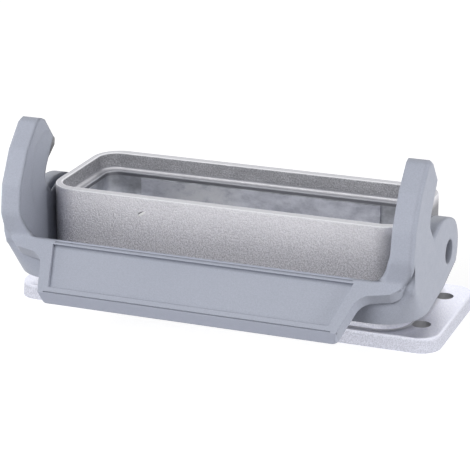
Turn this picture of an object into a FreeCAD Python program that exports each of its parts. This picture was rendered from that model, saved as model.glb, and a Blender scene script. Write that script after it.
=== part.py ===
import FreeCAD, Part
import math
import os
import Sketcher

# Panel base housing of a heavy duty rectangular connector, with one locking lever standing open.
# X runs along the housing, Y to the rear, Z up. The origin is the middle of the flange's underside,
# so the panel face is Z = 0. Everything is in millimetres and degrees.

V = FreeCAD.Vector
doc = FreeCAD.newDocument("BaseHousing")
os.makedirs("parts", exist_ok=True)

# Driving dimensions
SIZES = (
    # Flange that is screwed to the panel
    ("flange_thickness", 3.4),
    ("flange_corner", 4.5),
    ("flange_draft", 5.0),
    ("flange_edge_round", 0.3),
    ("bolt_pitch_long", 86.0),
    ("bolt_pitch_wide", 17.5),
    ("bolt_hole", 4.1),
    ("flange_end", 5.4),
    ("flange_side", 7.95),
    ("flange_length", "=bolt_pitch_long + 2 * flange_end"),
    ("flange_width", "=bolt_pitch_wide + 2 * flange_side"),
    # Shell, measured at its rim
    ("rim_length", 81.7),
    ("rim_width", 30.6),
    ("rim_height", 26.3),
    ("rim_corner", 6.4),
    ("shell_draft", 0.4),
    ("foot_round", 0.25),
    ("rim_round", 0.3),
    # Mouth above the ledge, then the cavity that takes the contact insert
    ("mouth_length", 78.7),
    ("mouth_width", 26.2),
    ("mouth_corner", 4.2),
    ("ledge_depth", 3.9),
    ("ledge_height", "=rim_height - ledge_depth"),
    ("ledge_round", 0.8),
    ("cavity_length", 75.7),
    ("cavity_width", 23.2),
    ("cavity_corner", 3.0),
    # Corner seats with the tapped holes for the insert's screws
    ("seat_drop", 5.0),
    ("seat_height", "=ledge_height - seat_drop"),
    ("seat_length", 7.8),
    ("seat_width", 6.6),
    ("seat_round", 1.5),
    ("insert_pitch_long", 66.0),
    ("insert_pitch_wide", 16.0),
    ("insert_hole", 2.5),
    ("insert_hole_depth", 9.0),
    # Raised guide pads on the cavity walls
    ("wall_overlap", 0.6),
    ("pad_proud", 0.4),
    ("pad_drop", 1.0),
    ("pad_top", "=ledge_height - pad_drop"),
    ("pad_foot", 3.0),
    ("side_pad_length", 57.2),
    ("side_pad_shift", -1.3),
    ("end_pad_width", 5.4),
    # Panel gasket in its groove
    ("gasket_length", 80.3),
    ("gasket_width", 28.4),
    ("gasket_corner", 5.0),
    ("gasket_band", 1.6),
    ("gasket_depth", 1.2),
    # Pivot pegs cast on the end walls
    ("pivot_drop", 9.2),
    ("pivot_height", "=rim_height - pivot_drop"),
    ("peg_diameter", 5.1),
    ("peg_recess", 1.2),
    ("peg_clearance", 0.05),
    ("collar_diameter", 9.0),
    ("collar_gap", 0.1),
    # Lever arms, half widths from the middle of the housing
    ("arm_gap", 0.45),
    ("arm_thickness", 4.8),
    ("arm_inside", "=rim_length / 2 + arm_gap"),
    ("arm_outside", "=arm_inside + arm_thickness"),
    ("arm_inner_skin", 0.4),
    ("arm_slot", 1.4),
    ("arm_bevel", 0.55),
    ("wrist_round", 4.0),
    ("knuckle_round", 2.0),
    ("throat_round", 1.8),
    ("tip_round", 1.0),
    ("crown_round", 0.6),
    ("catch_round", 0.5),
    # Arm outline: distance in front of the pivot and rise above it
    ("tip_fore", 15.5),
    ("tip_rise", 24.8),
    ("brow_fore", 17.1),
    ("brow_rise", 24.4),
    ("knuckle_fore", 22.1),
    ("knuckle_rise", 19.4),
    ("wrist_ahead", 0.1),
    ("wrist_fore", "=handle_fore + wrist_ahead"),
    ("wrist_rise", 12.5),
    ("heel_ahead", 1.2),
    ("heel_fore", "=handle_fore + heel_ahead"),
    ("heel_rise", 6.3),
    ("toe_back", 0.7),
    ("toe_fore", "=handle_fore - toe_back"),
    ("toe_rise", "=handle_rise - handle_thickness * cos(handle_slope)"),
    ("flank_fore", 14.5),
    ("belly_rise", -8.4),
    ("keel_fore", 3.0),
    ("keel_rise", -6.8),
    ("lobe_radius", 7.1),
    ("lobe_top_fore", 7.0),
    ("lobe_top_rise", 8.5),
    ("lobe_crest_fore", 1.6),
    ("lobe_crest_rise", 8.15),
    ("notch_fore", 11.7),
    ("notch_rise", 7.0),
    ("throat_low_fore", 14.9),
    ("throat_low_rise", 10.8),
    ("throat_top_fore", 13.6),
    ("throat_top_rise", 13.5),
    ("nose_fore", 9.8),
    ("nose_rise", 19.1),
    ("crown_fore", 13.6),
    ("crown_rise", 23.9),
    # Slot in each arm for the steel catch plate, open to the rear
    ("slot_floor_fore", 13.0),
    ("slot_floor_rise", 3.4),
    ("slot_bay_fore", 19.6),
    ("slot_bay_rise", 5.0),
    ("slot_back_fore", 21.1),
    ("slot_back_rise", 12.0),
    ("slot_neck_fore", 18.6),
    ("slot_neck_rise", 18.6),
    ("slot_roof_fore", 14.6),
    ("slot_roof_rise", 20.9),
    ("slot_open_fore", -9.0),
    # Steel catch plate
    ("catch_crown_fore", 10.6),
    ("catch_crown_rise", 20.4),
    ("catch_nose_fore", 8.3),
    ("catch_nose_rise", 18.2),
    ("catch_beak_fore", 8.6),
    ("catch_beak_rise", 16.8),
    ("catch_ramp_fore", 12.9),
    ("catch_ramp_rise", 14.0),
    ("catch_throat_fore", 13.9),
    ("catch_throat_rise", 11.1),
    ("catch_sole_fore", 10.6),
    ("catch_sole_rise", 5.8),
    ("catch_heel_fore", 12.2),
    ("catch_heel_rise", 4.2),
    ("catch_bay_fore", 18.9),
    ("catch_bay_rise", 5.7),
    ("catch_back_fore", 20.5),
    ("catch_back_rise", 12.0),
    ("catch_neck_fore", 18.1),
    ("catch_neck_rise", 18.1),
    # Shoulder where the arm's front is cut back beside the handle's edge, seen from the front
    ("shoulder_back", 0.5),
    ("shoulder_fore", "=handle_fore - shoulder_back"),
    ("shoulder_top", 6.4),
    ("shoulder_mid", 3.4),
    ("shoulder_mid_in", 0.5),
    ("shoulder_low", 0.0),
    ("shoulder_low_in", 3.1),
    # Cheek: the arm's lower front corner, sharp above and widely rounded below
    ("cheek_start_in", 12.1),
    ("cheek_foot_back", 1.1),
    ("cheek_foot_fore", "=handle_fore - cheek_foot_back"),
    ("cheek_sharp", 1.2),
    ("cheek_sharp_inside", 1.0),
    ("cheek_blunt", 9.4),
    ("cheek_blunt_inside", 6.2),
    # Handle: a sloping thumb plate in front of a web that joins the arms
    ("web_thickness", 2.6),
    ("armpit_round", 3.8),
    ("handle_fore", 25.9),
    ("handle_rise", 1.4),
    ("handle_slope", 38.7),
    ("handle_thickness", 3.2),
    # Handle outline: distance in from the arm's outer face and down the slope
    ("handle_root_in", 1.2),
    ("handle_root_down", -1.6),
    ("handle_bulge_in", 2.35),
    ("handle_bulge_down", 0.9),
    ("handle_neck_in", 4.5),
    ("handle_neck_down", 2.75),
    ("handle_step_in", 7.9),
    ("handle_step_down", 3.45),
    ("handle_hollow_in", 10.0),
    ("handle_hollow_down", 4.4),
    ("handle_waist_in", 11.2),
    ("handle_waist_down", 6.4),
    ("handle_end_in", 13.15),
    ("handle_end_down", 13.9),
    ("handle_corner", 1.5),
    ("handle_edge_down", 13.15),
    # Recessed panel in the handle, the grip line above it and the edge line below it
    ("panel_top_in", 12.4),
    ("panel_top_down", 1.2),
    ("panel_low_in", 14.95),
    ("panel_low_down", 11.6),
    ("panel_depth", 0.65),
    ("grip_line_in", 12.7),
    ("grip_line_down", 0.45),
    ("grip_line_width", 0.3),
    ("grip_line_depth", 0.2),
    ("edge_line_in", 14.2),
    ("edge_line_down", 12.75),
    ("edge_line_width", 0.3),
    ("edge_line_depth", 0.2),
)

sheet = doc.addObject("Spreadsheet::Sheet", "Sizes")
for row, (alias, value) in enumerate(SIZES, start=1):
    sheet.set("A%d" % row, alias)
    sheet.set("B%d" % row, str(value))
    sheet.setAlias("B%d" % row, alias)
doc.recompute()


def size(alias):
    """Return a driving dimension from the sheet."""
    return float(getattr(sheet, alias))


def bind(item, prop, formula):
    """Tie a property to the sheet; names in the formula are aliases."""
    item.setExpression(prop, formula)


def own_plane(body, role):
    """Return one of the body's own origin planes."""
    return next(f for f in body.Origin.OriginFeatures if f.Role == role)


def rounded_rectangle(sketch, length, width, corner, skip=0):
    """Draw a centred rounded rectangle whose three sizes follow formulas on the sheet."""
    half_x = float(sheet.evalExpression(length)) / 2
    half_y = float(sheet.evalExpression(width)) / 2
    radius = float(sheet.evalExpression(corner))
    inner_x, inner_y = half_x - radius, half_y - radius
    normal = V(0, 0, 1)
    lines = (
        (V(-inner_x, -half_y, 0), V(inner_x, -half_y, 0)),
        (V(half_x, -inner_y, 0), V(half_x, inner_y, 0)),
        (V(inner_x, half_y, 0), V(-inner_x, half_y, 0)),
        (V(-half_x, inner_y, 0), V(-half_x, -inner_y, 0)),
    )
    for first, last in lines:
        sketch.addGeometry(Part.LineSegment(first, last), False)
    arcs = (
        (inner_x, -inner_y, -90.0),
        (inner_x, inner_y, 0.0),
        (-inner_x, inner_y, 90.0),
        (-inner_x, -inner_y, 180.0),
    )
    for x, y, start in arcs:
        circle = Part.Circle(V(x, y, 0), normal, radius)
        begin = math.radians(start)
        sketch.addGeometry(Part.ArcOfCircle(circle, begin, begin + math.pi / 2), False)
    for side in range(4):
        arc = skip + 4 + side
        following = skip + (side + 1) % 4
        sketch.addConstraint(Sketcher.Constraint("Tangent", skip + side, 2, arc, 1))
        sketch.addConstraint(Sketcher.Constraint("Tangent", arc, 2, following, 1))
    for side in (0, 2):
        sketch.addConstraint(Sketcher.Constraint("Horizontal", skip + side))
        sketch.addConstraint(Sketcher.Constraint("Vertical", skip + side + 1))
    for arc in (5, 6, 7):
        sketch.addConstraint(Sketcher.Constraint("Equal", skip + 4, skip + arc))
    sketch.addConstraint(Sketcher.Constraint("Symmetric", skip + 4, 3, skip + 6, 3, -1, 1))
    sizes = (
        ("DistanceX", (skip + 3, 1, skip + 1, 1), 2 * half_x, length),
        ("DistanceY", (skip + 0, 1, skip + 2, 1), 2 * half_y, width),
        ("Radius", (skip + 4,), radius, corner),
    )
    for kind, where, value, formula in sizes:
        index = sketch.addConstraint(Sketcher.Constraint(kind, *where, value))
        bind(sketch, "Constraints[%d]" % index, formula)


def plane_sketch(body, name, role, height=None):
    """Attach a sketch to one of the body's own planes, lifted by a formula where one is given."""
    sketch = body.newObject("Sketcher::SketchObject", name)
    sketch.AttachmentSupport = [(own_plane(body, role), "")]
    sketch.MapMode = "FlatFace"
    if height:
        bind(sketch, "AttachmentOffset.Base.z", height)
    return sketch


def pad(body, sketch, name, length):
    """Add material on the side that the sketch faces."""
    feature = body.newObject("PartDesign::Pad", name)
    feature.Profile = sketch
    bind(feature, "Length", length)
    return feature


def pocket(body, sketch, name, length):
    """Remove material below the sketch, and stop if nothing was cut."""
    doc.recompute()
    before = body.Shape.Volume
    feature = body.newObject("PartDesign::Pocket", name)
    feature.Profile = sketch
    bind(feature, "Length", length)
    doc.recompute()
    if body.Shape.Volume > before - 0.01:
        raise RuntimeError(name + " cuts nothing")
    return feature


def edges_where(shape, test):
    """Name the edges of a shape whose ends and middle all pass a test."""
    names = []
    for number, edge in enumerate(shape.Edges, start=1):
        middle = edge.valueAt((edge.FirstParameter + edge.LastParameter) / 2)
        points = [vertex.Point for vertex in edge.Vertexes] + [middle]
        if all(test(point) for point in points):
            names.append("Edge%d" % number)
    return names


def dress(body, kind, name, test, radius):
    """Round or bevel the chosen edges of the body's last feature."""
    doc.recompute()
    base = body.Tip
    names = edges_where(base.Shape, test)
    feature = body.newObject("PartDesign::" + kind, name)
    feature.Base = (base, names)
    bind(feature, "Radius" if kind == "Fillet" else "Size", radius)
    doc.recompute()
    return feature


# How closely two places count as the same
TOUCH = 0.02


def near(value, target):
    """Tell whether a coordinate lies on a plane."""
    return abs(value - target) < TOUCH


# Housing: one aluminium die casting with flange, shell, seats, guide pads and pivot pegs
housing = doc.addObject("PartDesign::Body", "Housing")
housing.Label = "base_housing"

outline = plane_sketch(housing, "FlangeOutline", "XY_Plane")
rounded_rectangle(outline, "Sizes.flange_length", "Sizes.flange_width", "Sizes.flange_corner")
flange = pad(housing, outline, "Flange", "Sizes.flange_thickness")
bind(flange, "TaperAngle", "-Sizes.flange_draft")
dress(
    housing,
    "Fillet",
    "FlangeEdge",
    lambda p: near(p.z, size("flange_thickness")),
    "Sizes.flange_edge_round",
)

shell_growth = "2 * Sizes.rim_height * tan(Sizes.shell_draft)"
outline = plane_sketch(housing, "ShellOutline", "XY_Plane")
rounded_rectangle(
    outline,
    "Sizes.rim_length + " + shell_growth,
    "Sizes.rim_width + " + shell_growth,
    "Sizes.rim_corner + " + shell_growth + " / 2",
)
shell = pad(housing, outline, "Shell", "Sizes.rim_height")
bind(shell, "TaperAngle", "-Sizes.shell_draft")


def on_foot(point):
    """Tell whether a point lies where the shell stands on the flange."""
    reach = size("rim_length") / 2 + 1.0
    depth = size("rim_width") / 2 + 0.45
    inside = abs(point.x) < reach and abs(point.y) < depth
    return near(point.z, size("flange_thickness")) and inside


dress(housing, "Fillet", "Foot", on_foot, "Sizes.foot_round")

outline = plane_sketch(housing, "MouthOutline", "XY_Plane", "Sizes.rim_height")
rounded_rectangle(outline, "Sizes.mouth_length", "Sizes.mouth_width", "Sizes.mouth_corner")
pocket(housing, outline, "Mouth", "Sizes.rim_height - Sizes.ledge_height")
dress(housing, "Fillet", "LedgeCorner", lambda p: near(p.z, size("ledge_height")), "Sizes.ledge_round")
dress(housing, "Fillet", "RimEdge", lambda p: near(p.z, size("rim_height")), "Sizes.rim_round")

outline = plane_sketch(housing, "CavityOutline", "XY_Plane", "Sizes.ledge_height")
rounded_rectangle(outline, "Sizes.cavity_length", "Sizes.cavity_width", "Sizes.cavity_corner")
pocket(housing, outline, "Cavity", "Sizes.ledge_height")


def add_blocks(body, name, blocks, height, foot="0"):
    """Pad rectangles, each given by its middle and two sizes as formulas, from a foot height up."""
    sketch = plane_sketch(body, name + "Outline", "XY_Plane", foot)
    for x, y, length, width in blocks:
        first = sketch.GeometryCount
        corners = (V(0, 0, 0), V(1, 0, 0), V(1, 1, 0), V(0, 1, 0))
        for side in range(4):
            segment = Part.LineSegment(corners[side], corners[(side + 1) % 4])
            sketch.addGeometry(segment, False)
        for side in range(4):
            following = first + (side + 1) % 4
            sketch.addConstraint(Sketcher.Constraint("Coincident", first + side, 2, following, 1))
        for side in (0, 2):
            sketch.addConstraint(Sketcher.Constraint("Horizontal", first + side))
            sketch.addConstraint(Sketcher.Constraint("Vertical", first + side + 1))
        low_x = "%s - (%s) / 2" % (x, length)
        low_y = "%s - (%s) / 2" % (y, width)
        high_x = "%s + (%s) / 2" % (x, length)
        high_y = "%s + (%s) / 2" % (y, width)
        places = (
            ("DistanceX", 0, 1, low_x),
            ("DistanceY", 0, 1, low_y),
            ("DistanceX", 2, 1, high_x),
            ("DistanceY", 2, 1, high_y),
        )
        for kind, side, end, formula in places:
            constraint = Sketcher.Constraint(kind, -1, 1, first + side, end, 1.0)
            index = sketch.addConstraint(constraint)
            bind(sketch, "Constraints[%d]" % index, formula)
    return pad(body, sketch, name, "%s - (%s)" % (height, foot))


overlap = "Sizes.wall_overlap"
seat_x = "(Sizes.cavity_length - Sizes.seat_length + %s) / 2" % overlap
seat_y = "(Sizes.cavity_width - Sizes.seat_width + %s) / 2" % overlap
seat_sizes = ("Sizes.seat_length + " + overlap, "Sizes.seat_width + " + overlap)
seats = [
    (sign_x + seat_x, sign_y + seat_y) + seat_sizes
    for sign_x in ("", "-")
    for sign_y in ("", "-")
]
add_blocks(housing, "Seats", seats, "Sizes.seat_height")


def on_seat_corner(point):
    """Tell whether a point lies on the free upright corner of a seat."""
    at_x = near(abs(point.x), size("cavity_length") / 2 - size("seat_length"))
    at_y = near(abs(point.y), size("cavity_width") / 2 - size("seat_width"))
    return at_x and at_y


dress(housing, "Fillet", "SeatCorners", on_seat_corner, "Sizes.seat_round")

pad_thickness = "Sizes.pad_proud + " + overlap
side_pad_y = "(Sizes.cavity_width - Sizes.pad_proud + %s) / 2" % overlap
end_pad_x = "(Sizes.cavity_length - Sizes.pad_proud + %s) / 2" % overlap
guide_pads = [("Sizes.side_pad_shift", sign + side_pad_y, "Sizes.side_pad_length", pad_thickness) for sign in ("", "-")]
guide_pads += [(sign + end_pad_x, "0", pad_thickness, "Sizes.end_pad_width") for sign in ("", "-")]
add_blocks(housing, "GuidePads", guide_pads, "Sizes.pad_top", "Sizes.pad_foot")


def cut_holes(body, name, pitch_long, pitch_wide, diameter, top, depth):
    """Cut four round holes on a rectangle, downwards from a height."""
    sketch = plane_sketch(body, name + "Circles", "XY_Plane", top)
    for sign_x in (1, -1):
        for sign_y in (1, -1):
            circle = Part.Circle(V(sign_x * 5.0, sign_y * 5.0, 0), V(0, 0, 1), 1.0)
            item = sketch.addGeometry(circle, False)
            places = (
                ("DistanceX", (-1, 1, item, 3), "%d * %s / 2" % (sign_x, pitch_long)),
                ("DistanceY", (-1, 1, item, 3), "%d * %s / 2" % (sign_y, pitch_wide)),
                ("Diameter", (item,), diameter),
            )
            for kind, where, formula in places:
                index = sketch.addConstraint(Sketcher.Constraint(kind, *where, 5.0))
                bind(sketch, "Constraints[%d]" % index, formula)
    return pocket(body, sketch, name, depth)


cut_holes(
    housing,
    "PanelHoles",
    "Sizes.bolt_pitch_long",
    "Sizes.bolt_pitch_wide",
    "Sizes.bolt_hole",
    "Sizes.flange_thickness",
    "Sizes.flange_thickness",
)
cut_holes(
    housing,
    "InsertHoles",
    "Sizes.insert_pitch_long",
    "Sizes.insert_pitch_wide",
    "Sizes.insert_hole",
    "Sizes.seat_height",
    "Sizes.insert_hole_depth",
)

groove = plane_sketch(housing, "GrooveOutline", "XY_Plane", "Sizes.gasket_depth")
rounded_rectangle(groove, "Sizes.gasket_length", "Sizes.gasket_width", "Sizes.gasket_corner")
rounded_rectangle(
    groove,
    "Sizes.gasket_length - 2 * Sizes.gasket_band",
    "Sizes.gasket_width - 2 * Sizes.gasket_band",
    "Sizes.gasket_corner - Sizes.gasket_band",
    skip=8,
)
pocket(housing, groove, "GasketGroove", "Sizes.gasket_depth")


def pivot_circle(body, name, diameter, place):
    """Draw a circle round the pivot axis on a plane across X."""
    sketch = plane_sketch(body, name, "YZ_Plane", place)
    height = size("pivot_height")
    across = float(sheet.evalExpression(diameter))
    sketch.addGeometry(Part.Circle(V(0, height, 0), V(0, 0, 1), across / 2), False)
    sketch.addConstraint(Sketcher.Constraint("PointOnObject", 0, 3, -2))
    index = sketch.addConstraint(Sketcher.Constraint("DistanceY", -1, 1, 0, 3, height))
    bind(sketch, "Constraints[%d]" % index, "Sizes.pivot_height")
    index = sketch.addConstraint(Sketcher.Constraint("Diameter", 0, across))
    bind(sketch, "Constraints[%d]" % index, diameter)
    return sketch


peg_root = "(Sizes.cavity_length / 2 + %s)" % overlap
rounds = (
    ("Collar", "Sizes.collar_diameter", "Sizes.arm_inside - Sizes.collar_gap"),
    ("Peg", "Sizes.peg_diameter", "Sizes.arm_outside - Sizes.peg_recess"),
)
for name, diameter, reach in rounds:
    for side, sign in (("Right", ""), ("Left", "-")):
        circle = pivot_circle(housing, name + side + "Circle", diameter, sign + peg_root)
        feature = pad(housing, circle, name + side, "%s - %s" % (reach, peg_root))
        feature.Reversed = side == "Left"
        doc.recompute()


# Gasket: rubber ring that fills the groove in the flange's underside
gasket = doc.addObject("PartDesign::Body", "Gasket")
gasket.Label = "flange_gasket"
ring = plane_sketch(gasket, "GasketOutline", "XY_Plane")
rounded_rectangle(ring, "Sizes.gasket_length", "Sizes.gasket_width", "Sizes.gasket_corner")
rounded_rectangle(
    ring,
    "Sizes.gasket_length - 2 * Sizes.gasket_band",
    "Sizes.gasket_width - 2 * Sizes.gasket_band",
    "Sizes.gasket_corner - Sizes.gasket_band",
    skip=8,
)
pad(gasket, ring, "Ring", "Sizes.gasket_depth")


def fix_point(sketch, geometry, end, x_formula, y_formula):
    """Fix one point of a sketch at two formulas."""
    for kind, formula in (("DistanceX", x_formula), ("DistanceY", y_formula)):
        here = sketch.getPoint(geometry, end)
        value = here.x if kind == "DistanceX" else here.y
        index = sketch.addConstraint(Sketcher.Constraint(kind, -1, 1, geometry, end, value))
        bind(sketch, "Constraints[%d]" % index, formula)


def trace(sketch, points):
    """Draw a closed outline through points, each fixed at formulas on the sheet.

    A point is (x, y), or (x, y, via x, via y) where an arc through the second pair ends there.
    """
    spots = [[float(sheet.evalExpression(item)) for item in point] for point in points]
    for number, point in enumerate(points):
        before = points[number - 1]
        last = V(spots[number - 1][0], spots[number - 1][1], 0)
        here = V(spots[number][0], spots[number][1], 0)
        turned = False
        if len(point) == 2:
            item = sketch.addGeometry(Part.LineSegment(last, here), False)
        else:
            middle = V(spots[number][2], spots[number][3], 0)
            item = sketch.addGeometry(Part.Arc(last, middle, here), False)
            turned = sketch.getPoint(item, 1).isEqual(here, TOUCH)
        fix_point(sketch, item, 2 if turned else 1, before[0], before[1])
        fix_point(sketch, item, 1 if turned else 2, point[0], point[1])
        if len(point) == 4:
            guide = sketch.addGeometry(Part.Point(middle), True)
            fix_point(sketch, guide, 1, point[2], point[3])
            sketch.addConstraint(Sketcher.Constraint("PointOnObject", guide, 1, item))


def side_point(stem):
    """Give a named point of the lever in the side view as two formulas."""
    return ("-Sizes.%s_fore" % stem, "Sizes.pivot_height + Sizes.%s_rise" % stem)


def hub_point(turn):
    """Give a point on the lobe round the pivot, by its angle above the rear, as two formulas."""
    across = "Sizes.lobe_radius * cos(%.1f)" % turn
    above = "Sizes.pivot_height + Sizes.lobe_radius * sin(%.1f)" % turn
    return (across, above)


def edge_along_x(*stems):
    """Make a test for edges that run along X through named points of the side view."""
    places = [
        (-size(stem + "_fore"), size("pivot_height") + size(stem + "_rise")) for stem in stems
    ]

    def test(point):
        return any(near(point.y, y) and near(point.z, z) for y, z in places)

    return test


# Lever: one plastic moulding. Its right half is built, then mirrored as a whole.
lever = doc.addObject("PartDesign::Body", "Lever")
lever.Label = "locking_lever"

LOBE_TOP_TURN = 60.0
LOBE_REAR_TURN = 10.0
LOBE_LOW_TURN = -35.0
arm_outline = plane_sketch(lever, "ArmOutline", "YZ_Plane", "Sizes.arm_inside")
belly = ("-Sizes.flank_fore", "Sizes.pivot_height + Sizes.belly_rise")
flank = ("-Sizes.flank_fore", "Sizes.pivot_height + Sizes.toe_rise")
stems = ("tip", "brow", "knuckle", "wrist", "heel", "handle", "toe")
arm_points = [side_point(stem) for stem in stems]
arm_points += [flank, belly, side_point("keel"), hub_point(LOBE_LOW_TURN)]
arm_points += [hub_point(LOBE_TOP_TURN) + hub_point(LOBE_REAR_TURN)]
arm_points += [side_point("lobe_top") + side_point("lobe_crest")]
arm_points += [side_point(stem) for stem in ("notch", "throat_low", "throat_top", "nose", "crown")]
trace(arm_outline, arm_points)
pad(lever, arm_outline, "Arm", "Sizes.arm_thickness")

def slope_side_point(down, depth):
    """Give a point of the handle in the side view from its place on the slope, as two formulas."""
    turn = "Sizes.handle_slope"
    across = "-Sizes.handle_fore - %s * cos(%s) + %s * sin(%s)" % (down, turn, depth, turn)
    start = "Sizes.pivot_height + Sizes.handle_rise"
    above = "%s - %s * sin(%s) - %s * cos(%s)" % (start, down, turn, depth, turn)
    return (across, above)


# How far the middle of a quarter arc stands off the corner that it rounds, per unit of radius
QUARTER_ARC = "(1 - cos(45))"

# Gusset that carries the arm's front face round the inner corner towards the handle
web_back = "-Sizes.cheek_foot_fore + Sizes.web_thickness"
plate_root = slope_side_point("0", "Sizes.handle_thickness")
gusset_start = "Sizes.arm_inside - Sizes.armpit_round"
gusset_outline = plane_sketch(lever, "GussetOutline", "YZ_Plane", gusset_start)
trace(
    gusset_outline,
    [
        side_point("handle"),
        side_point("heel"),
        side_point("wrist"),
        slope_side_point("(-1.3 * Sizes.armpit_round)", "Sizes.handle_thickness"),
        plate_root,
    ],
)
pad(lever, gusset_outline, "Gusset", "Sizes.armpit_round")


def slope_sketch(name):
    """Attach a sketch to the handle's sloping face: x across, y up the slope from its upper edge."""
    sketch = plane_sketch(lever, name, "XY_Plane")
    sketch.AttachmentOffset = FreeCAD.Placement(V(0, 0, 0), FreeCAD.Rotation(V(1, 0, 0), 30))
    bind(sketch, "AttachmentOffset.Base.y", "-Sizes.handle_fore")
    bind(sketch, "AttachmentOffset.Base.z", "Sizes.pivot_height + Sizes.handle_rise")
    bind(sketch, "AttachmentOffset.Rotation.Angle", "Sizes.handle_slope")
    return sketch


def slope_point(stem):
    """Give a named point of the handle's outline as two formulas."""
    return ("Sizes.arm_outside - Sizes.%s_in" % stem, "-Sizes.%s_down" % stem)


# The inner corner is cut square to the handle's face, so its wall faces away from the hand
corner_outline = slope_sketch("ArmpitOutline")
corner_reach = "(Sizes.wrist_rise + Sizes.armpit_round)"
trace(
    corner_outline,
    [
        ("0", "0"),
        ("Sizes.arm_inside - Sizes.armpit_round", "0"),
        (
            "Sizes.arm_inside",
            "Sizes.armpit_round",
            "Sizes.arm_inside - %s * Sizes.armpit_round" % QUARTER_ARC,
            "%s * Sizes.armpit_round" % QUARTER_ARC,
        ),
        ("Sizes.arm_inside", corner_reach),
        ("0", corner_reach),
    ],
)
doc.recompute()
armpit = lever.newObject("PartDesign::Pocket", "Armpit")
armpit.Profile = corner_outline
armpit.SideType = "Two sides"
bind(armpit, "Length", "Sizes.handle_thickness + 1")
bind(armpit, "Length2", corner_reach)
doc.recompute()


def cheek_section(name, height, fore, outer, inner):
    """Draw the cheek's plan outline at one height, with its outer and inner corner radii."""
    section = plane_sketch(lever, name, "XY_Plane", "Sizes.pivot_height + Sizes." + height)
    front = "-Sizes." + fore
    outer, inner = "Sizes." + outer, "Sizes." + inner
    start = "Sizes.arm_outside - Sizes.cheek_start_in"
    trace(
        section,
        [
            ("Sizes.arm_outside", "-Sizes.flank_fore"),
            ("Sizes.arm_outside", "%s + %s" % (front, outer)),
            (
                "Sizes.arm_outside - " + outer,
                front,
                "Sizes.arm_outside - %s * %s" % (QUARTER_ARC, outer),
                "%s + %s * %s" % (front, QUARTER_ARC, outer),
            ),
            (start, front),
            (start, web_back),
            ("Sizes.arm_inside - " + inner, web_back),
            (
                "Sizes.arm_inside",
                "%s + %s" % (web_back, inner),
                "Sizes.arm_inside - %s * %s" % (QUARTER_ARC, inner),
                "%s + %s * %s" % (web_back, QUARTER_ARC, inner),
            ),
            ("Sizes.arm_inside", "-Sizes.flank_fore"),
        ],
    )
    return section


doc.recompute()
cheek = lever.newObject("PartDesign::AdditiveLoft", "Cheek")
cheek.Profile = cheek_section("CheekTop", "toe_rise", "toe_fore", "cheek_sharp", "cheek_sharp_inside")
foot = cheek_section("CheekFoot", "belly_rise", "cheek_foot_fore", "cheek_blunt", "cheek_blunt_inside")
cheek.Sections = [foot]
cheek.Ruled = True
doc.recompute()

web_outline = plane_sketch(lever, "WebOutline", "YZ_Plane")
trace(
    web_outline,
    [
        side_point("handle"),
        plate_root,
        (web_back, plate_root[1]),
        (web_back, "Sizes.pivot_height + Sizes.belly_rise"),
        ("-Sizes.cheek_foot_fore", "Sizes.pivot_height + Sizes.belly_rise"),
        side_point("toe"),
    ],
)
pad(lever, web_outline, "Web", gusset_start)


dress(lever, "Fillet", "ArmBends", edge_along_x("wrist", "heel"), "Sizes.wrist_round")
dress(lever, "Fillet", "ArmKnuckle", edge_along_x("knuckle"), "Sizes.knuckle_round")
dress(lever, "Fillet", "ThroatCurve", edge_along_x("throat_low", "throat_top"), "Sizes.throat_round")
dress(lever, "Fillet", "ArmTip", edge_along_x("tip", "brow"), "Sizes.tip_round")
dress(lever, "Fillet", "ArmCorners", edge_along_x("nose", "crown", "notch"), "Sizes.crown_round")


def on_front_rim(point):
    """Tell whether a point lies on the arm's outer front or top edge."""
    front = point.y < -size("crown_fore") - 0.3 and point.z > size("pivot_height") + size("handle_rise")
    throat = point.y > -size("knuckle_fore") and point.z < size("pivot_height") + size("knuckle_rise")
    return near(point.x, size("arm_outside")) and front and not throat


dress(lever, "Chamfer", "ArmBevel", on_front_rim, "Sizes.arm_bevel")

shoulder = plane_sketch(lever, "ShoulderOutline", "XZ_Plane", "Sizes.shoulder_fore")
beyond = "Sizes.arm_outside + 1"
trace(
    shoulder,
    [
        (beyond, "Sizes.pivot_height + Sizes.shoulder_top"),
        ("Sizes.arm_outside", "Sizes.pivot_height + Sizes.shoulder_top"),
        (
            "Sizes.arm_outside - Sizes.shoulder_low_in",
            "Sizes.pivot_height + Sizes.shoulder_low",
            "Sizes.arm_outside - Sizes.shoulder_mid_in",
            "Sizes.pivot_height + Sizes.shoulder_mid",
        ),
        (beyond, "Sizes.pivot_height + Sizes.shoulder_low"),
    ],
)
doc.recompute()
shoulder_cut = lever.newObject("PartDesign::Pocket", "Shoulder")
shoulder_cut.Profile = shoulder
bind(shoulder_cut, "Length", "Sizes.heel_fore - Sizes.shoulder_fore + 1")
shoulder_cut.Reversed = True
doc.recompute()

handle_outline = slope_sketch("HandleOutline")
trace(
    handle_outline,
    [
        ("0", "0"),
        ("Sizes.arm_inside", "0"),
        ("Sizes.arm_inside", "-Sizes.handle_root_down"),
        slope_point("handle_root"),
        slope_point("handle_neck") + slope_point("handle_bulge"),
        slope_point("handle_step"),
        slope_point("handle_waist") + slope_point("handle_hollow"),
        slope_point("handle_end"),
        ("0", "-Sizes.handle_end_down"),
    ],
)
handle = pad(lever, handle_outline, "Handle", "Sizes.handle_thickness")
handle.Reversed = True
doc.recompute()


def slope_place(point):
    """Measure a point from the handle's face: across, down the slope, and depth below the face."""
    angle = math.radians(size("handle_slope"))
    fore = -point.y - size("handle_fore")
    rise = point.z - size("pivot_height") - size("handle_rise")
    down = fore * math.cos(angle) - rise * math.sin(angle)
    depth = -fore * math.sin(angle) - rise * math.cos(angle)
    return point.x, down, depth


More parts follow.
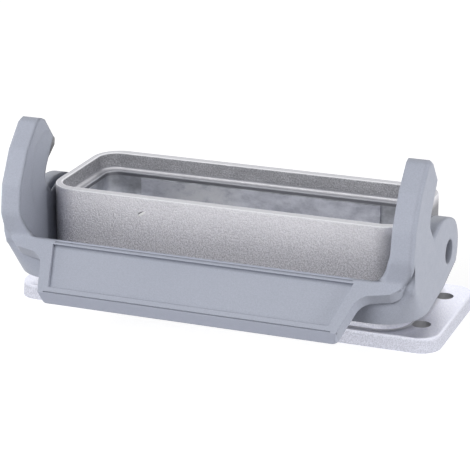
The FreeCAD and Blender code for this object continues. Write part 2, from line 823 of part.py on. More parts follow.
def on_handle_corner(point):
    """Tell whether a point lies on the upright edge at the handle's outer lower corner."""
    across, down, depth = slope_place(point)
    at_end = near(across, size("arm_outside") - size("handle_end_in"))
    return at_end and near(down, size("handle_end_down"))


dress(lever, "Fillet", "HandleCorner", on_handle_corner, "Sizes.handle_corner")


lip_outline = plane_sketch(lever, "LipOutline", "YZ_Plane")
trace(
    lip_outline,
    [
        slope_side_point("Sizes.handle_edge_down", "0"),
        slope_side_point("Sizes.handle_end_down", "Sizes.handle_thickness"),
        slope_side_point("(Sizes.handle_end_down + 1)", "Sizes.handle_thickness"),
        slope_side_point("(Sizes.handle_end_down + 1)", "0"),
    ],
)
doc.recompute()
lip_cut = lever.newObject("PartDesign::Pocket", "LipCut")
lip_cut.Profile = lip_outline
lip_cut.Reversed = True
bind(lip_cut, "Length", "Sizes.arm_outside")
doc.recompute()

slot_outline = plane_sketch(lever, "SlotOutline", "YZ_Plane", "Sizes.arm_inside + Sizes.arm_inner_skin")
slot_mouth = [
    ("-Sizes.slot_open_fore", "Sizes.pivot_height + Sizes.slot_roof_rise"),
    ("-Sizes.slot_open_fore", "Sizes.pivot_height + Sizes.slot_floor_rise"),
]
slot_stems = ("slot_floor", "slot_bay", "slot_back", "slot_neck", "slot_roof")
trace(slot_outline, slot_mouth + [side_point(stem) for stem in slot_stems])
slot = lever.newObject("PartDesign::Pocket", "Slot")
slot.Profile = slot_outline
slot.Reversed = True
bind(slot, "Length", "Sizes.arm_slot")
doc.recompute()

bore_size = "Sizes.peg_diameter + 2 * Sizes.peg_clearance"
bore = lever.newObject("PartDesign::Pocket", "PivotBore")
bore.Profile = pivot_circle(lever, "PivotBoreCircle", bore_size, "Sizes.arm_inside")
bore.Reversed = True
bind(bore, "Length", "Sizes.arm_thickness")
doc.recompute()

panel_outline = slope_sketch("PanelOutline")
trace(
    panel_outline,
    [
        ("0", "-Sizes.panel_top_down"),
        slope_point("panel_top"),
        slope_point("panel_low"),
        ("0", "-Sizes.panel_low_down"),
    ],
)
pocket(lever, panel_outline, "Panel", "Sizes.panel_depth")

for name, stem in (("GripLine", "grip_line"), ("EdgeLine", "edge_line")):
    line_outline = slope_sketch(name + "Outline")
    start, end = slope_point(stem)
    low = "%s - Sizes.%s_width" % (end, stem)
    trace(line_outline, [("0", end), (start, end), (start, low), ("0", low)])
    pocket(lever, line_outline, name, "Sizes.%s_depth" % stem)

both_sides = lever.newObject("PartDesign::Mirrored", "BothSides")
both_sides.TransformMode = "Whole shape"
both_sides.MirrorPlane = (own_plane(lever, "YZ_Plane"), [""])
lever.Tip = both_sides
doc.recompute()


# Catch plates: stainless steel, one in the slot of each arm, standing proud at nose and throat
def catch_plate(name, label, near_face):
    """Build one catch plate from the formula of its face nearer to the left."""
    body = doc.addObject("PartDesign::Body", name)
    body.Label = label
    outline = plane_sketch(body, name + "Outline", "YZ_Plane", near_face)
    stems = ("crown", "nose", "beak", "ramp")
    points = [side_point("catch_" + stem) for stem in stems]
    points += [side_point("catch_sole") + side_point("catch_throat")]
    points += [side_point("catch_" + stem) for stem in ("heel", "bay", "back", "neck")]
    trace(outline, points)
    pad(body, outline, name + "Plate", "Sizes.arm_slot")
    dress(body, "Fillet", name + "Nose", edge_along_x("catch_nose", "catch_beak"), "Sizes.catch_round")
    return body


slot_face = "(Sizes.arm_inside + Sizes.arm_inner_skin)"
right_catch = catch_plate("RightCatch", "lever_cam_right", slot_face)
left_catch = catch_plate("LeftCatch", "lever_cam_left", "-%s - Sizes.arm_slot" % slot_face)
doc.recompute()

# Check every object, then export
for item in doc.Objects:
    if "Invalid" in item.State or "Error" in item.State:
        raise RuntimeError("%s: %s" % (item.Name, item.State))

for body in (housing, gasket, lever, left_catch, right_catch):
    shape = body.Shape
    if shape.isNull() or not shape.isValid() or len(shape.Solids) != 1:
        raise RuntimeError(body.Label + " is not one valid solid")
    shape.exportStep("parts/%s.step" % body.Label)
    print(body.Label, round(shape.Volume, 1), shape.BoundBox)
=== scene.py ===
import math

import bpy
import mathutils
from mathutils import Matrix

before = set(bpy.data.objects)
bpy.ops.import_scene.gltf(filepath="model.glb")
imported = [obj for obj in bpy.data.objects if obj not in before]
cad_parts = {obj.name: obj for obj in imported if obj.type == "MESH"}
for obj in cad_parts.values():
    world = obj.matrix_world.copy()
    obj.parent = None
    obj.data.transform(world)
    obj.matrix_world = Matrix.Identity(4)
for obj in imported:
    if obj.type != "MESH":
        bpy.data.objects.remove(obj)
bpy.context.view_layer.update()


# Base housing: one aluminium die casting, bare metal. It is blasted outside, so flange and shell
# have a fine sparkling grain, while the cavity keeps the smooth, cloudy skin of the mould.
# The four panel holes and the seats for the insert's screws are part of the casting.
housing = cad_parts["base_housing"]

# heights above the panel, in metres
flange_top = 0.0034
pad_top = 0.0214
ledge_top = 0.0224
rim_top = 0.0263
# length, width and corner radius of the shell's rim, of its mouth and of the cavity below the ledge
rim_outline = (0.0817, 0.0306, 0.0064)
mouth_outline = (0.0787, 0.0262, 0.0042)
cavity_outline = (0.0757, 0.0232, 0.0030)
# the panel holes, from the middle of the flange, and how far their dark walls reach
panel_hole_x = 0.0430
panel_hole_y = 0.00875
panel_hole_reach = 0.0022
# the guide pad on the rear wall of the cavity, and where it is palest
pad_middle = -0.0013
pad_half_length = 0.0287
pad_front = 0.0111
pad_palest_middle = -0.0150
# the nick on the shell's front, painted as a highlight, and the cut above it, painted as its shadow,
# how far each reaches, and their tilt in degrees
nick_place = (-0.0181, -0.0154, 0.02265)
nick_reach = 0.0012
cut_place = (-0.0184, -0.0154, 0.02285)
cut_reach = 0.0007
nick_tilt = -32.0


def new_finish(name):
    """Start a material and return it with its nodes and its Principled shader."""
    finish = bpy.data.materials.new(name)
    finish.use_nodes = True
    tree = finish.node_tree
    return finish, tree, tree.nodes["Principled BSDF"]


def link(tree, source, target):
    """Join two sockets."""
    tree.links.new(source, target)


def maths(tree, operation, first, second=None, clamp=False):
    """Add a Math node; each operand is a socket or a number."""
    node = tree.nodes.new("ShaderNodeMath")
    node.operation = operation
    node.use_clamp = clamp
    for slot, value in enumerate((first, second)):
        if value is None:
            continue
        if isinstance(value, (int, float)):
            node.inputs[slot].default_value = value
        else:
            link(tree, value, node.inputs[slot])
    return node.outputs[0]


def plus(tree, first, second):
    """Return the sum."""
    return maths(tree, "ADD", first, second)


def times(tree, first, second):
    """Return the product."""
    return maths(tree, "MULTIPLY", first, second)


def larger(tree, first, second):
    """Return the larger of the two."""
    return maths(tree, "MAXIMUM", first, second)


def away_from(tree, value, middle):
    """Return how far a value is from a middle, on either side."""
    return maths(tree, "ABSOLUTE", maths(tree, "SUBTRACT", value, middle))


def noise(tree, place, scale, detail=3.0, roughness=0.5, stretch=None):
    """Add a noise pattern on Object coordinates, in cycles per metre, stretched if asked."""
    node = tree.nodes.new("ShaderNodeTexNoise")
    node.inputs["Scale"].default_value = scale
    node.inputs["Detail"].default_value = detail
    node.inputs["Roughness"].default_value = roughness
    if stretch:
        mapping = tree.nodes.new("ShaderNodeMapping")
        mapping.inputs["Scale"].default_value = stretch
        link(tree, place, mapping.inputs["Vector"])
        place = mapping.outputs[0]
    link(tree, place, node.inputs["Vector"])
    return node.outputs["Fac"]


def spread(tree, value, low, high, out_low=0.0, out_high=1.0):
    """Map a value from one range to another, held at the ends."""
    node = tree.nodes.new("ShaderNodeMapRange")
    node.inputs["From Min"].default_value = low
    node.inputs["From Max"].default_value = high
    node.inputs["To Min"].default_value = out_low
    node.inputs["To Max"].default_value = out_high
    link(tree, value, node.inputs["Value"])
    return node.outputs["Result"]


def stripe(tree, value, start, whole, ebb, end, peak=1.0):
    """Rise from 0 at start to the peak at whole, stay there until ebb, and fall to 0 at end."""
    return times(tree, spread(tree, value, start, whole), spread(tree, value, ebb, end, peak, 0.0))


def blend_colours(tree, factor, first, second):
    """Mix two colours; each is a socket or an RGB triple."""
    node = tree.nodes.new("ShaderNodeMix")
    node.data_type = "RGBA"
    link(tree, factor, node.inputs["Factor"])
    for slot, value in ((6, first), (7, second)):
        if isinstance(value, tuple):
            node.inputs[slot].default_value = value + (1.0,)
        else:
            link(tree, value, node.inputs[slot])
    return node.outputs[2]


def bump(tree, height, depth, under=None):
    """Turn a height into a normal; depth is in metres, under is the normal that it starts from."""
    node = tree.nodes.new("ShaderNodeBump")
    node.inputs["Distance"].default_value = depth
    node.inputs["Strength"].default_value = 1.0
    link(tree, height, node.inputs["Height"])
    if under is not None:
        link(tree, under, node.inputs["Normal"])
    return node.outputs["Normal"]


def coordinates(tree):
    """Return Object coordinates and their three parts, in metres."""
    where = tree.nodes.new("ShaderNodeTexCoord").outputs["Object"]
    parts = tree.nodes.new("ShaderNodeSeparateXYZ")
    link(tree, where, parts.inputs[0])
    return where, parts.outputs["X"], parts.outputs["Y"], parts.outputs["Z"]


def past_outline(tree, x, y, outline):
    """Return how far a point lies outside a rounded rectangle, in metres; negative within it.

    Per axis: distance past the corner's centre. Both positive: their hypotenuse, less the corner's
    radius. Otherwise: the larger of the two, less the radius.
    """
    length, width, corner = outline
    past_x = maths(tree, "SUBTRACT", maths(tree, "ABSOLUTE", x), length / 2 - corner)
    past_y = maths(tree, "SUBTRACT", maths(tree, "ABSOLUTE", y), width / 2 - corner)
    square_x = maths(tree, "POWER", larger(tree, past_x, 0.0), 2.0)
    square_y = maths(tree, "POWER", larger(tree, past_y, 0.0), 2.0)
    hypotenuse = maths(tree, "SQRT", plus(tree, square_x, square_y))
    flat = maths(tree, "MINIMUM", larger(tree, past_x, past_y), 0.0)
    return maths(tree, "SUBTRACT", plus(tree, hypotenuse, flat), corner)


def streak(tree, where, centre, reach, grain):
    """Return 1 in a thin ragged stroke on the front face, 0 around it.

    Offset from the centre, turned by the nick's tilt, its part across the stroke divided by the
    thinness; its length plus a little of the grain, compared with the reach.
    """
    thinness = 0.24
    raggedness = 0.0006
    soft_edge = 0.0003
    away = tree.nodes.new("ShaderNodeVectorMath")
    away.operation = "SUBTRACT"
    away.inputs[1].default_value = centre
    link(tree, where, away.inputs[0])
    turned = tree.nodes.new("ShaderNodeMapping")
    turned.vector_type = "TEXTURE"
    turned.inputs["Rotation"].default_value = (0.0, math.radians(nick_tilt), 0.0)
    turned.inputs["Scale"].default_value = (1.0, 1.0, thinness)
    link(tree, away.outputs[0], turned.inputs["Vector"])
    length = tree.nodes.new("ShaderNodeVectorMath")
    length.operation = "LENGTH"
    link(tree, turned.outputs[0], length.inputs[0])
    ragged = plus(tree, length.outputs["Value"], times(tree, grain, raggedness))
    return spread(tree, ragged, reach, reach + soft_edge, 1.0, 0.0)


def shell_skin(tree, x, z, grit, broad):
    """Blasted shell grain, painted lighter towards the rim, with painted shade on the ends and low down."""
    grain_dark, grain_bright = (0.52, 0.51, 0.54), (0.92, 0.91, 0.95)
    stain = (0.50, 0.50, 0.52)
    shell_shade_colour = (0.30, 0.30, 0.32)
    # painted light: the grain's tone is paler and calmer towards the rim, and darker low down
    painted_light_low, painted_light_high = 0.0120, 0.0240
    painted_light_tone = 0.95
    painted_top_light = spread(tree, z, painted_light_low, painted_light_high, -0.2, 0.7)
    tone = plus(tree, grit, times(tree, painted_top_light, maths(tree, "SUBTRACT", painted_light_tone, grit)))
    metal = blend_colours(tree, tone, grain_dark, grain_bright)
    metal = blend_colours(tree, spread(tree, broad, 0.3, 0.7, 0.0, 0.12), metal, stain)
    # painted shade on the end walls below the rim, where they face the arms
    left_wall = spread(tree, x, -0.0412, -0.0366, 1.0, 0.0)
    right_wall = spread(tree, x, 0.0342, 0.0396)
    below_rim = spread(tree, z, rim_top - 0.0023, rim_top - 0.0001, 1.0, 0.0)
    end_wall_shade = times(tree, larger(tree, left_wall, right_wall), below_rim)
    metal = blend_colours(tree, end_wall_shade, metal, shell_shade_colour)
    # painted shade low down on the whole shell, strongest towards its ends
    low_shade_bottom, low_shade_top = 0.0080, 0.0200
    least_low_shade = 0.28
    left_end = spread(tree, x, -0.0400, -0.0330, 0.75, 0.0)
    right_end = spread(tree, x, 0.0300, 0.0388)
    low_shade = larger(tree, larger(tree, left_end, right_end), least_low_shade)
    low_down = spread(tree, z, low_shade_bottom, low_shade_top, 1.0, 0.0)
    return blend_colours(tree, times(tree, low_shade, low_down), metal, shell_shade_colour)


def flange_skin(tree, x, y, z, grit, past_rim, shell):
    """Flange, calmer in grain than the shell it is blended into, with its top painted lighter than its
    sides.
    """
    side_dark, side_bright = (0.58, 0.59, 0.66), (0.74, 0.75, 0.84)
    lit_top_dark, lit_top_bright = (0.83, 0.84, 0.95), (0.91, 0.92, 1.0)
    painted_shade_colour = (0.26, 0.26, 0.28)
    hole_wall_shade = (0.44, 0.44, 0.46)
    # painted light: the flange's top is lighter than its sides, as light from above falls on it
    side = blend_colours(tree, grit, side_dark, side_bright)
    flat = blend_colours(tree, grit, lit_top_dark, lit_top_bright)
    flange = blend_colours(tree, spread(tree, z, flange_top - 0.0009, flange_top - 0.0002), side, flat)
    on_flange = spread(tree, z, flange_top + 0.0006, flange_top + 0.0022, 1.0, 0.0)
    metal = blend_colours(tree, on_flange, shell, flange)
    # painted shade on the flange's top, round the foot of the shell
    near_shell = spread(tree, past_rim, 0.0006, 0.0024, 0.75, 0.0)
    low, high = flange_top - 0.0003, flange_top + 0.0004
    on_top = stripe(tree, z, low, low + 0.0002, high - 0.0002, high)
    metal = blend_colours(tree, times(tree, near_shell, on_top), metal, painted_shade_colour)
    # painted shade on the walls of the panel holes
    off_x = maths(tree, "SUBTRACT", maths(tree, "ABSOLUTE", x), panel_hole_x)
    off_y = maths(tree, "SUBTRACT", maths(tree, "ABSOLUTE", y), panel_hole_y)
    off_square = plus(tree, times(tree, off_x, off_x), times(tree, off_y, off_y))
    by_hole = maths(tree, "LESS_THAN", off_square, panel_hole_reach ** 2)
    below_top = maths(tree, "LESS_THAN", z, flange_top - 0.0001)
    return blend_colours(tree, times(tree, by_hole, below_top), metal, hole_wall_shade)


def cavity_skin(tree, x, y, z, grit, clouds, past_cavity):
    """Inside of the shell, from below: cloudy wall with its pad, painted shade under the ledge, ledge and
    mouth.

    Returns the colour, and how far a point is in the mouth, from 0 to 1.
    """
    wall_dark, wall_bright = (0.44, 0.45, 0.48), (0.72, 0.73, 0.77)
    pad_dark, pad_bright, pad_palest = (0.56, 0.57, 0.63), (0.93, 0.94, 1.0), (1.0, 1.0, 1.0)
    ledge_shadow_dark = (0.28, 0.28, 0.30)
    mouth_dark, mouth_bright, mouth_stain = (0.36, 0.36, 0.38), (0.62, 0.62, 0.65), (0.22, 0.22, 0.24)
    ledge_grey, ledge_edge_highlight = (0.60, 0.60, 0.63), (0.92, 0.92, 0.95)
    wall = blend_colours(tree, spread(tree, clouds, 0.38, 0.62), wall_dark, wall_bright)
    # the rear guide pad is paler than the wall, palest towards its left end
    pad = blend_colours(tree, spread(tree, clouds, 0.36, 0.60), pad_dark, pad_bright)
    towards_palest = spread(tree, away_from(tree, x, pad_palest_middle), 0.0040, 0.0110, 0.7, 0.0)
    palest = times(tree, towards_palest, spread(tree, clouds, 0.34, 0.54))
    pad = blend_colours(tree, palest, pad, pad_palest)
    on_pad = maths(tree, "LESS_THAN", away_from(tree, x, pad_middle), pad_half_length)
    on_pad = times(tree, on_pad, maths(tree, "LESS_THAN", z, pad_top))
    on_pad = times(tree, on_pad, maths(tree, "GREATER_THAN", y, pad_front))
    wall = blend_colours(tree, on_pad, wall, pad)
    # painted shadow in a band round the cavity, just under the ledge
    band_end = ledge_top - 0.0002
    ledge_shadow_band = stripe(tree, z, pad_top, pad_top + 0.0002, band_end - 0.0001, band_end)
    wall = blend_colours(tree, ledge_shadow_band, wall, ledge_shadow_dark)
    # the mouth above the ledge has the grain of the outside, in a duller tone
    mouth = blend_colours(tree, grit, mouth_dark, mouth_bright)
    mouth = blend_colours(tree, spread(tree, clouds, 0.40, 0.62, 0.25, 0.0), mouth, mouth_stain)
    in_mouth = spread(tree, z, ledge_top + 0.0005, ledge_top + 0.0009)
    metal = blend_colours(tree, in_mouth, wall, mouth)
    # the ledge, with a painted highlight along the cavity's edge
    from_ledge = spread(tree, z, ledge_top - 0.0002, ledge_top - 0.00005)
    on_ledge = maths(tree, "SUBTRACT", from_ledge, in_mouth, True)
    metal = blend_colours(tree, on_ledge, metal, ledge_grey)
    lip_highlight = times(tree, on_ledge, spread(tree, past_cavity, 0.00025, 0.00040, 1.0, 0.0))
    return blend_colours(tree, lip_highlight, metal, ledge_edge_highlight), in_mouth


def rim_skin(tree, z, past_rim, past_mouth, metal):
    """Rim: a calm flat face, with painted highlights along both its edges."""
    rim_grey, rim_edge_highlight = (0.58, 0.58, 0.61), (0.86, 0.86, 0.89)
    on_rim = spread(tree, z, rim_top - 0.00025, rim_top - 0.0001)
    metal = blend_colours(tree, on_rim, metal, rim_grey)
    # painted highlights along the rim's outer and inner edges
    outer_edge = spread(tree, past_rim, -0.00030, -0.00015)
    inner_edge = spread(tree, past_mouth, 0.00022, 0.00040, 1.0, 0.0)
    edges = times(tree, on_rim, larger(tree, outer_edge, inner_edge))
    return blend_colours(tree, edges, metal, rim_edge_highlight)


def cast_metal():
    """Bare die-cast aluminium: blasted grain outside, cloudy smooth skin inside, one nick; light and shade
    painted in.

    The grain is 0.55 of the pebbles plus 0.45 of the sparkle. Inside and outside are told apart by
    the mouth's outline and the rim's height.
    """
    finish, tree, shader = new_finish("cast_aluminium")
    where, x, y, z = coordinates(tree)
    past_rim = past_outline(tree, x, y, rim_outline)
    past_mouth = past_outline(tree, x, y, mouth_outline)
    past_cavity = past_outline(tree, x, y, cavity_outline)
    mouth_margin = 0.0005
    within_mouth = maths(tree, "LESS_THAN", past_mouth, mouth_margin)
    inner = times(tree, within_mouth, maths(tree, "LESS_THAN", z, rim_top - 0.00012))
    pebbles = noise(tree, where, scale=2600.0, detail=2.0, roughness=0.6)
    sparkle = noise(tree, where, scale=5200.0, detail=2.0, roughness=0.6)
    broad = noise(tree, where, scale=60.0, detail=1.0, roughness=0.4)
    clouds = noise(tree, where, scale=190.0, detail=4.0, roughness=0.62, stretch=(1.0, 1.0, 1.6))
    grain = plus(tree, times(tree, pebbles, 0.55), times(tree, sparkle, 0.45))
    # grit is the grain at its strongest contrast
    grit = spread(tree, grain, 0.42, 0.58)
    outside = shell_skin(tree, x, z, grit, broad)
    outside = flange_skin(tree, x, y, z, grit, past_rim, outside)
    inside, in_mouth = cavity_skin(tree, x, y, z, grit, clouds, past_cavity)
    colour = blend_colours(tree, inner, outside, inside)
    colour = rim_skin(tree, z, past_rim, past_mouth, colour)
    # the nick on the front, just under the rim: a painted highlight on its burr below a painted shadow in
    # its cut
    cut_shadow_dark, burr_highlight = (0.22, 0.22, 0.24), (1.0, 1.0, 1.0)
    cut_and_shadow = streak(tree, where, cut_place, cut_reach, grain)
    colour = blend_colours(tree, cut_and_shadow, colour, cut_shadow_dark)
    burr_highlight_mask = streak(tree, where, nick_place, nick_reach, grain)
    colour = blend_colours(tree, burr_highlight_mask, colour, burr_highlight)
    link(tree, colour, shader.inputs["Base Color"])
    shader.inputs["Metallic"].default_value = 1.0
    # the flange is a little smoother than the shell, and the cavity is the smoothest
    rough_out = spread(tree, grain, 0.3, 0.7, 0.60, 0.48)
    smoother = spread(tree, z, flange_top + 0.0002, flange_top + 0.0011, 0.05, 0.0)
    rough_out = maths(tree, "SUBTRACT", rough_out, smoother)
    rough_in = spread(tree, clouds, 0.35, 0.65, 0.48, 0.34)
    difference = maths(tree, "SUBTRACT", rough_in, rough_out)
    link(tree, plus(tree, rough_out, times(tree, difference, inner)), shader.inputs["Roughness"])
    # the grain stands up most on the shell, less on the flange and hardly at all in the cavity
    grain_depth = 0.00026
    cut_depth = 0.6
    smoothed_away = 0.8
    smooth_skin = maths(tree, "SUBTRACT", inner, in_mouth, True)
    height = times(tree, grain, maths(tree, "SUBTRACT", 1.0, times(tree, smooth_skin, smoothed_away)))
    height = times(tree, height, spread(tree, z, 0.0030, 0.0075, 0.55, 1.0))
    height = maths(tree, "SUBTRACT", height, times(tree, cut_and_shadow, cut_depth))
    link(tree, bump(tree, height, grain_depth), shader.inputs["Normal"])
    return finish


housing.data.materials.clear()
housing.data.materials.append(cast_metal())


# Panel gasket: a ring of black nitrile rubber that lies in the groove under the flange.
# It is drawn pressed flush, and its skin has the faint dull texture of moulded rubber.
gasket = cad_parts["flange_gasket"]


def seal_rubber():
    """Dull black rubber with a faint mottled skin."""
    finish, tree, shader = new_finish("seal_rubber")
    where = coordinates(tree)[0]
    rubber_dark, rubber_pale = (0.014, 0.014, 0.015), (0.035, 0.035, 0.037)
    skin_depth = 0.00004
    skin = noise(tree, where, scale=900.0, detail=4.0, roughness=0.6)
    link(tree, blend_colours(tree, skin, rubber_dark, rubber_pale), shader.inputs["Base Color"])
    link(tree, spread(tree, skin, 0.3, 0.7, 0.62, 0.78), shader.inputs["Roughness"])
    link(tree, bump(tree, skin, skin_depth), shader.inputs["Normal"])
    return finish


gasket.data.materials.clear()
gasket.data.materials.append(seal_rubber())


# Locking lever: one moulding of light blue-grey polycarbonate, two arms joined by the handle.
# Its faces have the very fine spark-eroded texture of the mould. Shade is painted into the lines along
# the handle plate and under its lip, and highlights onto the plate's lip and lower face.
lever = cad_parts["locking_lever"]

# places on the handle plate, in metres down its slope from the origin
lip_start = 0.0085
crisp_start = 0.0090
lip_end = 0.0091
grip_line = 0.00924
panel_start = 0.0098
edge_line = 0.02155
lower_edge = 0.0218
# places square to the plate, in metres from the origin, each a little behind the surface it finds
plate_back = 0.0274
panel_floor = 0.0299
lip_face = 0.0302
plate_face = 0.03058
# the lip runs between the arms
lip_half_length = 0.0336


def along_plate(tree, y, z):
    """Return two distances from the origin in the handle plate's own directions.

    Down its slope: minus y times the slope's cosine, minus z times its sine. Out from its face:
    minus y times the sine, plus z times the cosine.
    """
    cosine, sine = 0.78, 0.625
    down = plus(tree, times(tree, y, -cosine), times(tree, z, -sine))
    out = plus(tree, times(tree, y, -sine), times(tree, z, cosine))
    return down, out


def plate_shade_and_highlights(tree, x, down, out, tone):
    """Paint shade into what is sunk into the handle plate, then paint highlights on its lip and lower face.
    """
    painted_shade_colour = (0.11, 0.12, 0.15)
    plate_highlight_tone = (0.51, 0.54, 0.65)
    # painted shade in the two grooves and on the panel's upper wall
    low_line = spread(tree, away_from(tree, down, edge_line), 0.00018, 0.00028, 0.6, 0.0)
    high_line = spread(tree, away_from(tree, down, grip_line), 0.00018, 0.00024, 0.22, 0.0)
    shade_start, shade_end = panel_start + 0.00015, panel_start + 0.0007
    under_lip = stripe(tree, down, panel_start - 0.00025, panel_start, shade_start, shade_end, 0.5)
    below_face = maths(tree, "LESS_THAN", out, plate_face)
    sunk = times(tree, below_face, maths(tree, "GREATER_THAN", out, panel_floor))
    painted_shade_mask = times(tree, larger(tree, larger(tree, low_line, high_line), under_lip), sunk)
    tone = blend_colours(tree, painted_shade_mask, tone, painted_shade_colour)
    # painted highlights on the plate's lip and along its lower face
    lip_highlight = stripe(tree, down, lip_start, lip_start + 0.00005, lip_end - 0.00005, lip_end, 0.8)
    lip_highlight = times(tree, lip_highlight, maths(tree, "GREATER_THAN", out, lip_face))
    from_middle = maths(tree, "ABSOLUTE", x)
    lip_highlight = times(tree, lip_highlight, spread(tree, from_middle, lip_half_length - 0.0016, lip_half_length, 1.0, 0.0))
    on_plate = maths(tree, "GREATER_THAN", out, plate_back)
    lower_face_highlight = times(tree, on_plate, spread(tree, down, lower_edge - 0.00008, lower_edge, 0.0, 0.55))
    return blend_colours(tree, larger(tree, lip_highlight, lower_face_highlight), tone, plate_highlight_tone)


def lever_plastic():
    """Satin blue-grey plastic with a fine mould texture and slow changes of tone."""
    finish, tree, shader = new_finish("lever_plastic")
    where, x, y, z = coordinates(tree)
    pores = noise(tree, where, scale=3800.0, detail=2.0, roughness=0.5)
    soft = noise(tree, where, scale=900.0, detail=3.0, roughness=0.5)
    broad = noise(tree, where, scale=35.0, detail=3.0, roughness=0.55)
    darker, paler, in_pores = (0.375, 0.398, 0.470), (0.405, 0.428, 0.500), (0.31, 0.33, 0.39)
    tone = blend_colours(tree, spread(tree, broad, 0.3, 0.7), darker, paler)
    tone = blend_colours(tree, spread(tree, pores, 0.35, 0.65, 0.0, 0.5), tone, in_pores)
    down, out = along_plate(tree, y, z)
    link(tree, plate_shade_and_highlights(tree, x, down, out, tone), shader.inputs["Base Color"])
    link(tree, spread(tree, soft, 0.3, 0.7, 0.40, 0.52), shader.inputs["Roughness"])
    shader.inputs["Specular IOR Level"].default_value = 0.45
    # edges look rounded, those of the handle plate less than those of the arms
    arm_edge, plate_edge = 0.0013, 0.0002
    texture_depth = 0.00003
    rounded = tree.nodes.new("ShaderNodeBevel")
    rounded.samples = 12
    link(tree, spread(tree, down, crisp_start, panel_start, arm_edge, plate_edge), rounded.inputs["Radius"])
    height = plus(tree, times(tree, pores, 0.7), times(tree, soft, 0.3))
    link(tree, bump(tree, height, texture_depth, rounded.outputs[0]), shader.inputs["Normal"])
    return finish


lever.data.materials.clear()
lever.data.materials.append(lever_plastic())


# Catch plates: stamped stainless steel, one pressed into the slot of each arm. Their bright edge
# takes the wear of the hood's lug. The grain of the rolled sheet runs along the plate.
def catch_steel():
    """Bright rolled steel with fine lines along the sheet."""
    finish, tree, shader = new_finish("catch_steel")
    where = coordinates(tree)[0]
    steel_dark, steel_bright = (0.20, 0.20, 0.21), (0.30, 0.30, 0.31)
    line_depth = 0.00002
    lines = noise(tree, where, scale=700.0, detail=3.0, roughness=0.55, stretch=(6.0, 1.0, 0.25))
    link(tree, blend_colours(tree, lines, steel_dark, steel_bright), shader.inputs["Base Color"])
    shader.inputs["Metallic"].default_value = 1.0
    link(tree, spread(tree, lines, 0.3, 0.7, 0.24, 0.36), shader.inputs["Roughness"])
    link(tree, bump(tree, lines, line_depth), shader.inputs["Normal"])
    return finish


steel = catch_steel()
for name in ("lever_cam_left", "lever_cam_right"):
    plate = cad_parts[name]
    plate.data.materials.clear()
    plate.data.materials.append(steel)


# Studio: a white table that runs on out of sight, a large soft lamp above the front, small lamps at
# both ends and behind, and an even white room. The table is white to the camera but still shows the
# part's shadow.
table_half = 6.0
table_level = -0.0001


def seen_directly(tree):
    """Return 1 for camera, glossy and transmission rays."""
    path = tree.nodes.new("ShaderNodeLightPath")
    either = larger(tree, path.outputs["Is Camera Ray"], path.outputs["Is Glossy Ray"])
    return larger(tree, either, path.outputs["Is Transmission Ray"])


table = bpy.data.meshes.new("table_top")
corners = [(-1, -1), (1, -1), (1, 1), (-1, 1)]
table.from_pydata([(table_half * x, table_half * y, table_level) for x, y in corners], [], [(0, 1, 2, 3)])
table_top = bpy.data.objects.new("table_top", table)
bpy.context.scene.collection.objects.link(table_top)


def white_table():
    """Plain grey to the light that bounces, white with a soft shadow to the camera, clear from below."""
    paper = bpy.data.materials.new("white_table")
    paper.use_nodes = True
    tree = paper.node_tree
    tree.nodes.remove(tree.nodes["Principled BSDF"])
    bounce_grey, shadow_grey = (0.36, 0.36, 0.38, 1.0), (0.42, 0.42, 0.42, 1.0)
    glow_strength = 0.82
    plain = tree.nodes.new("ShaderNodeBsdfDiffuse")
    plain.inputs["Color"].default_value = bounce_grey
    shaded = tree.nodes.new("ShaderNodeBsdfDiffuse")
    shaded.inputs["Color"].default_value = shadow_grey
    glow = tree.nodes.new("ShaderNodeEmission")
    glow.inputs["Strength"].default_value = glow_strength
    both = tree.nodes.new("ShaderNodeAddShader")
    link(tree, shaded.outputs[0], both.inputs[0])
    link(tree, glow.outputs[0], both.inputs[1])
    choice = tree.nodes.new("ShaderNodeMixShader")
    link(tree, seen_directly(tree), choice.inputs["Fac"])
    link(tree, plain.outputs[0], choice.inputs[1])
    link(tree, both.outputs[0], choice.inputs[2])
    # seen from underneath, the table is clear, so that the flange's sealing face can be looked at
    clear = tree.nodes.new("ShaderNodeBsdfTransparent")
    side = tree.nodes.new("ShaderNodeMixShader")
    link(tree, tree.nodes.new("ShaderNodeNewGeometry").outputs["Backfacing"], side.inputs["Fac"])
    link(tree, choice.outputs[0], side.inputs[1])
    link(tree, clear.outputs[0], side.inputs[2])
    link(tree, side.outputs[0], tree.nodes["Material Output"].inputs["Surface"])
    return paper


table_top.data.materials.append(white_table())

room = bpy.data.worlds.new("white_room")
room.use_nodes = True
bpy.context.scene.world = room
sky = room.node_tree.nodes["Background"]
sky.inputs["Color"].default_value = (1.0, 1.0, 1.0, 1.0)
room_light, room_seen = 0.2, 1.0
strength = spread(room.node_tree, seen_directly(room.node_tree), 0.0, 1.0, room_light, room_seen)
link(room.node_tree, strength, sky.inputs["Strength"])

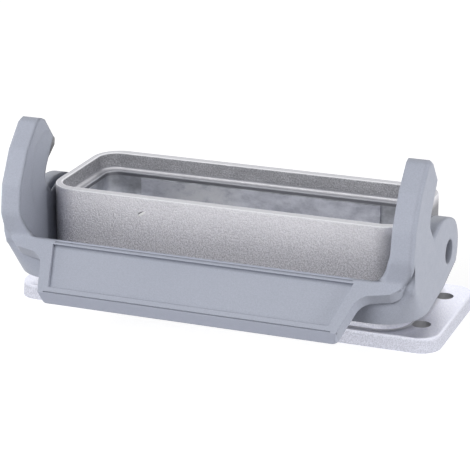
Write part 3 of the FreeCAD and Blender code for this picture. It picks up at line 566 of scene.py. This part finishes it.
lamp_aim = mathutils.Vector((0.0, 0.0, 0.02))


def soft_lamp(name, place, width, height, power, shows=False):
    """Hang a rectangular lamp turned towards the part, in metres and watts.

    One that shows is also seen in shiny surfaces.
    """
    lamp = bpy.data.lights.new(name, "AREA")
    lamp.shape = "RECTANGLE"
    lamp.size = width
    lamp.size_y = height
    lamp.energy = power
    holder = bpy.data.objects.new(name, lamp)
    holder.location = place
    heading = lamp_aim - mathutils.Vector(place)
    holder.rotation_euler = heading.to_track_quat("-Z", "Y").to_euler()
    holder.visible_glossy = shows
    bpy.context.scene.collection.objects.link(holder)


# the front lamp gives nearly all the light, the next two put glints in the metal, and the last two
# light the sides of the arms
soft_lamp("front_lamp", (-0.52, -1.0, 0.60), width=1.0, height=0.7, power=13.6)
soft_lamp("spark_lamp", (-0.15, -0.50, 0.85), width=0.2, height=0.2, power=0.5, shows=True)
soft_lamp("back_lamp", (-0.40, 1.0, 0.48), width=0.6, height=0.4, power=0.5, shows=True)
soft_lamp("left_lamp", (-0.80, -0.30, 0.04), width=0.3, height=0.12, power=1.9)
soft_lamp("right_lamp", (0.80, -0.06, 0.12), width=0.3, height=0.12, power=4.4)

bpy.context.scene.view_settings.view_transform = "Standard"


# Camera: a long lens, a little above and to the right of the part's front, as in the photograph.
# Its place, its turn and its length were fitted to the part's straight edges and holes there.
lens_right = mathutils.Vector((0.93141, 0.36397, -0.00487))
lens_up = mathutils.Vector((-0.11709, 0.31238, 0.94270))
lens_back = mathutils.Vector((0.34464, -0.87748, 0.33358))
lens_place = (0.15197, -0.39336, 0.16429)
lens_length = 155.85
film_width = 36.0
nearest_shown = 0.01

camera = bpy.data.cameras.new("camera")
camera.sensor_width = film_width
camera.lens = lens_length
camera.clip_start = nearest_shown
viewer = bpy.data.objects.new("camera", camera)
pose = mathutils.Matrix((lens_right, lens_up, lens_back)).transposed().to_4x4()
pose.translation = lens_place
viewer.matrix_world = pose
bpy.context.scene.collection.objects.link(viewer)
bpy.context.scene.camera = viewer
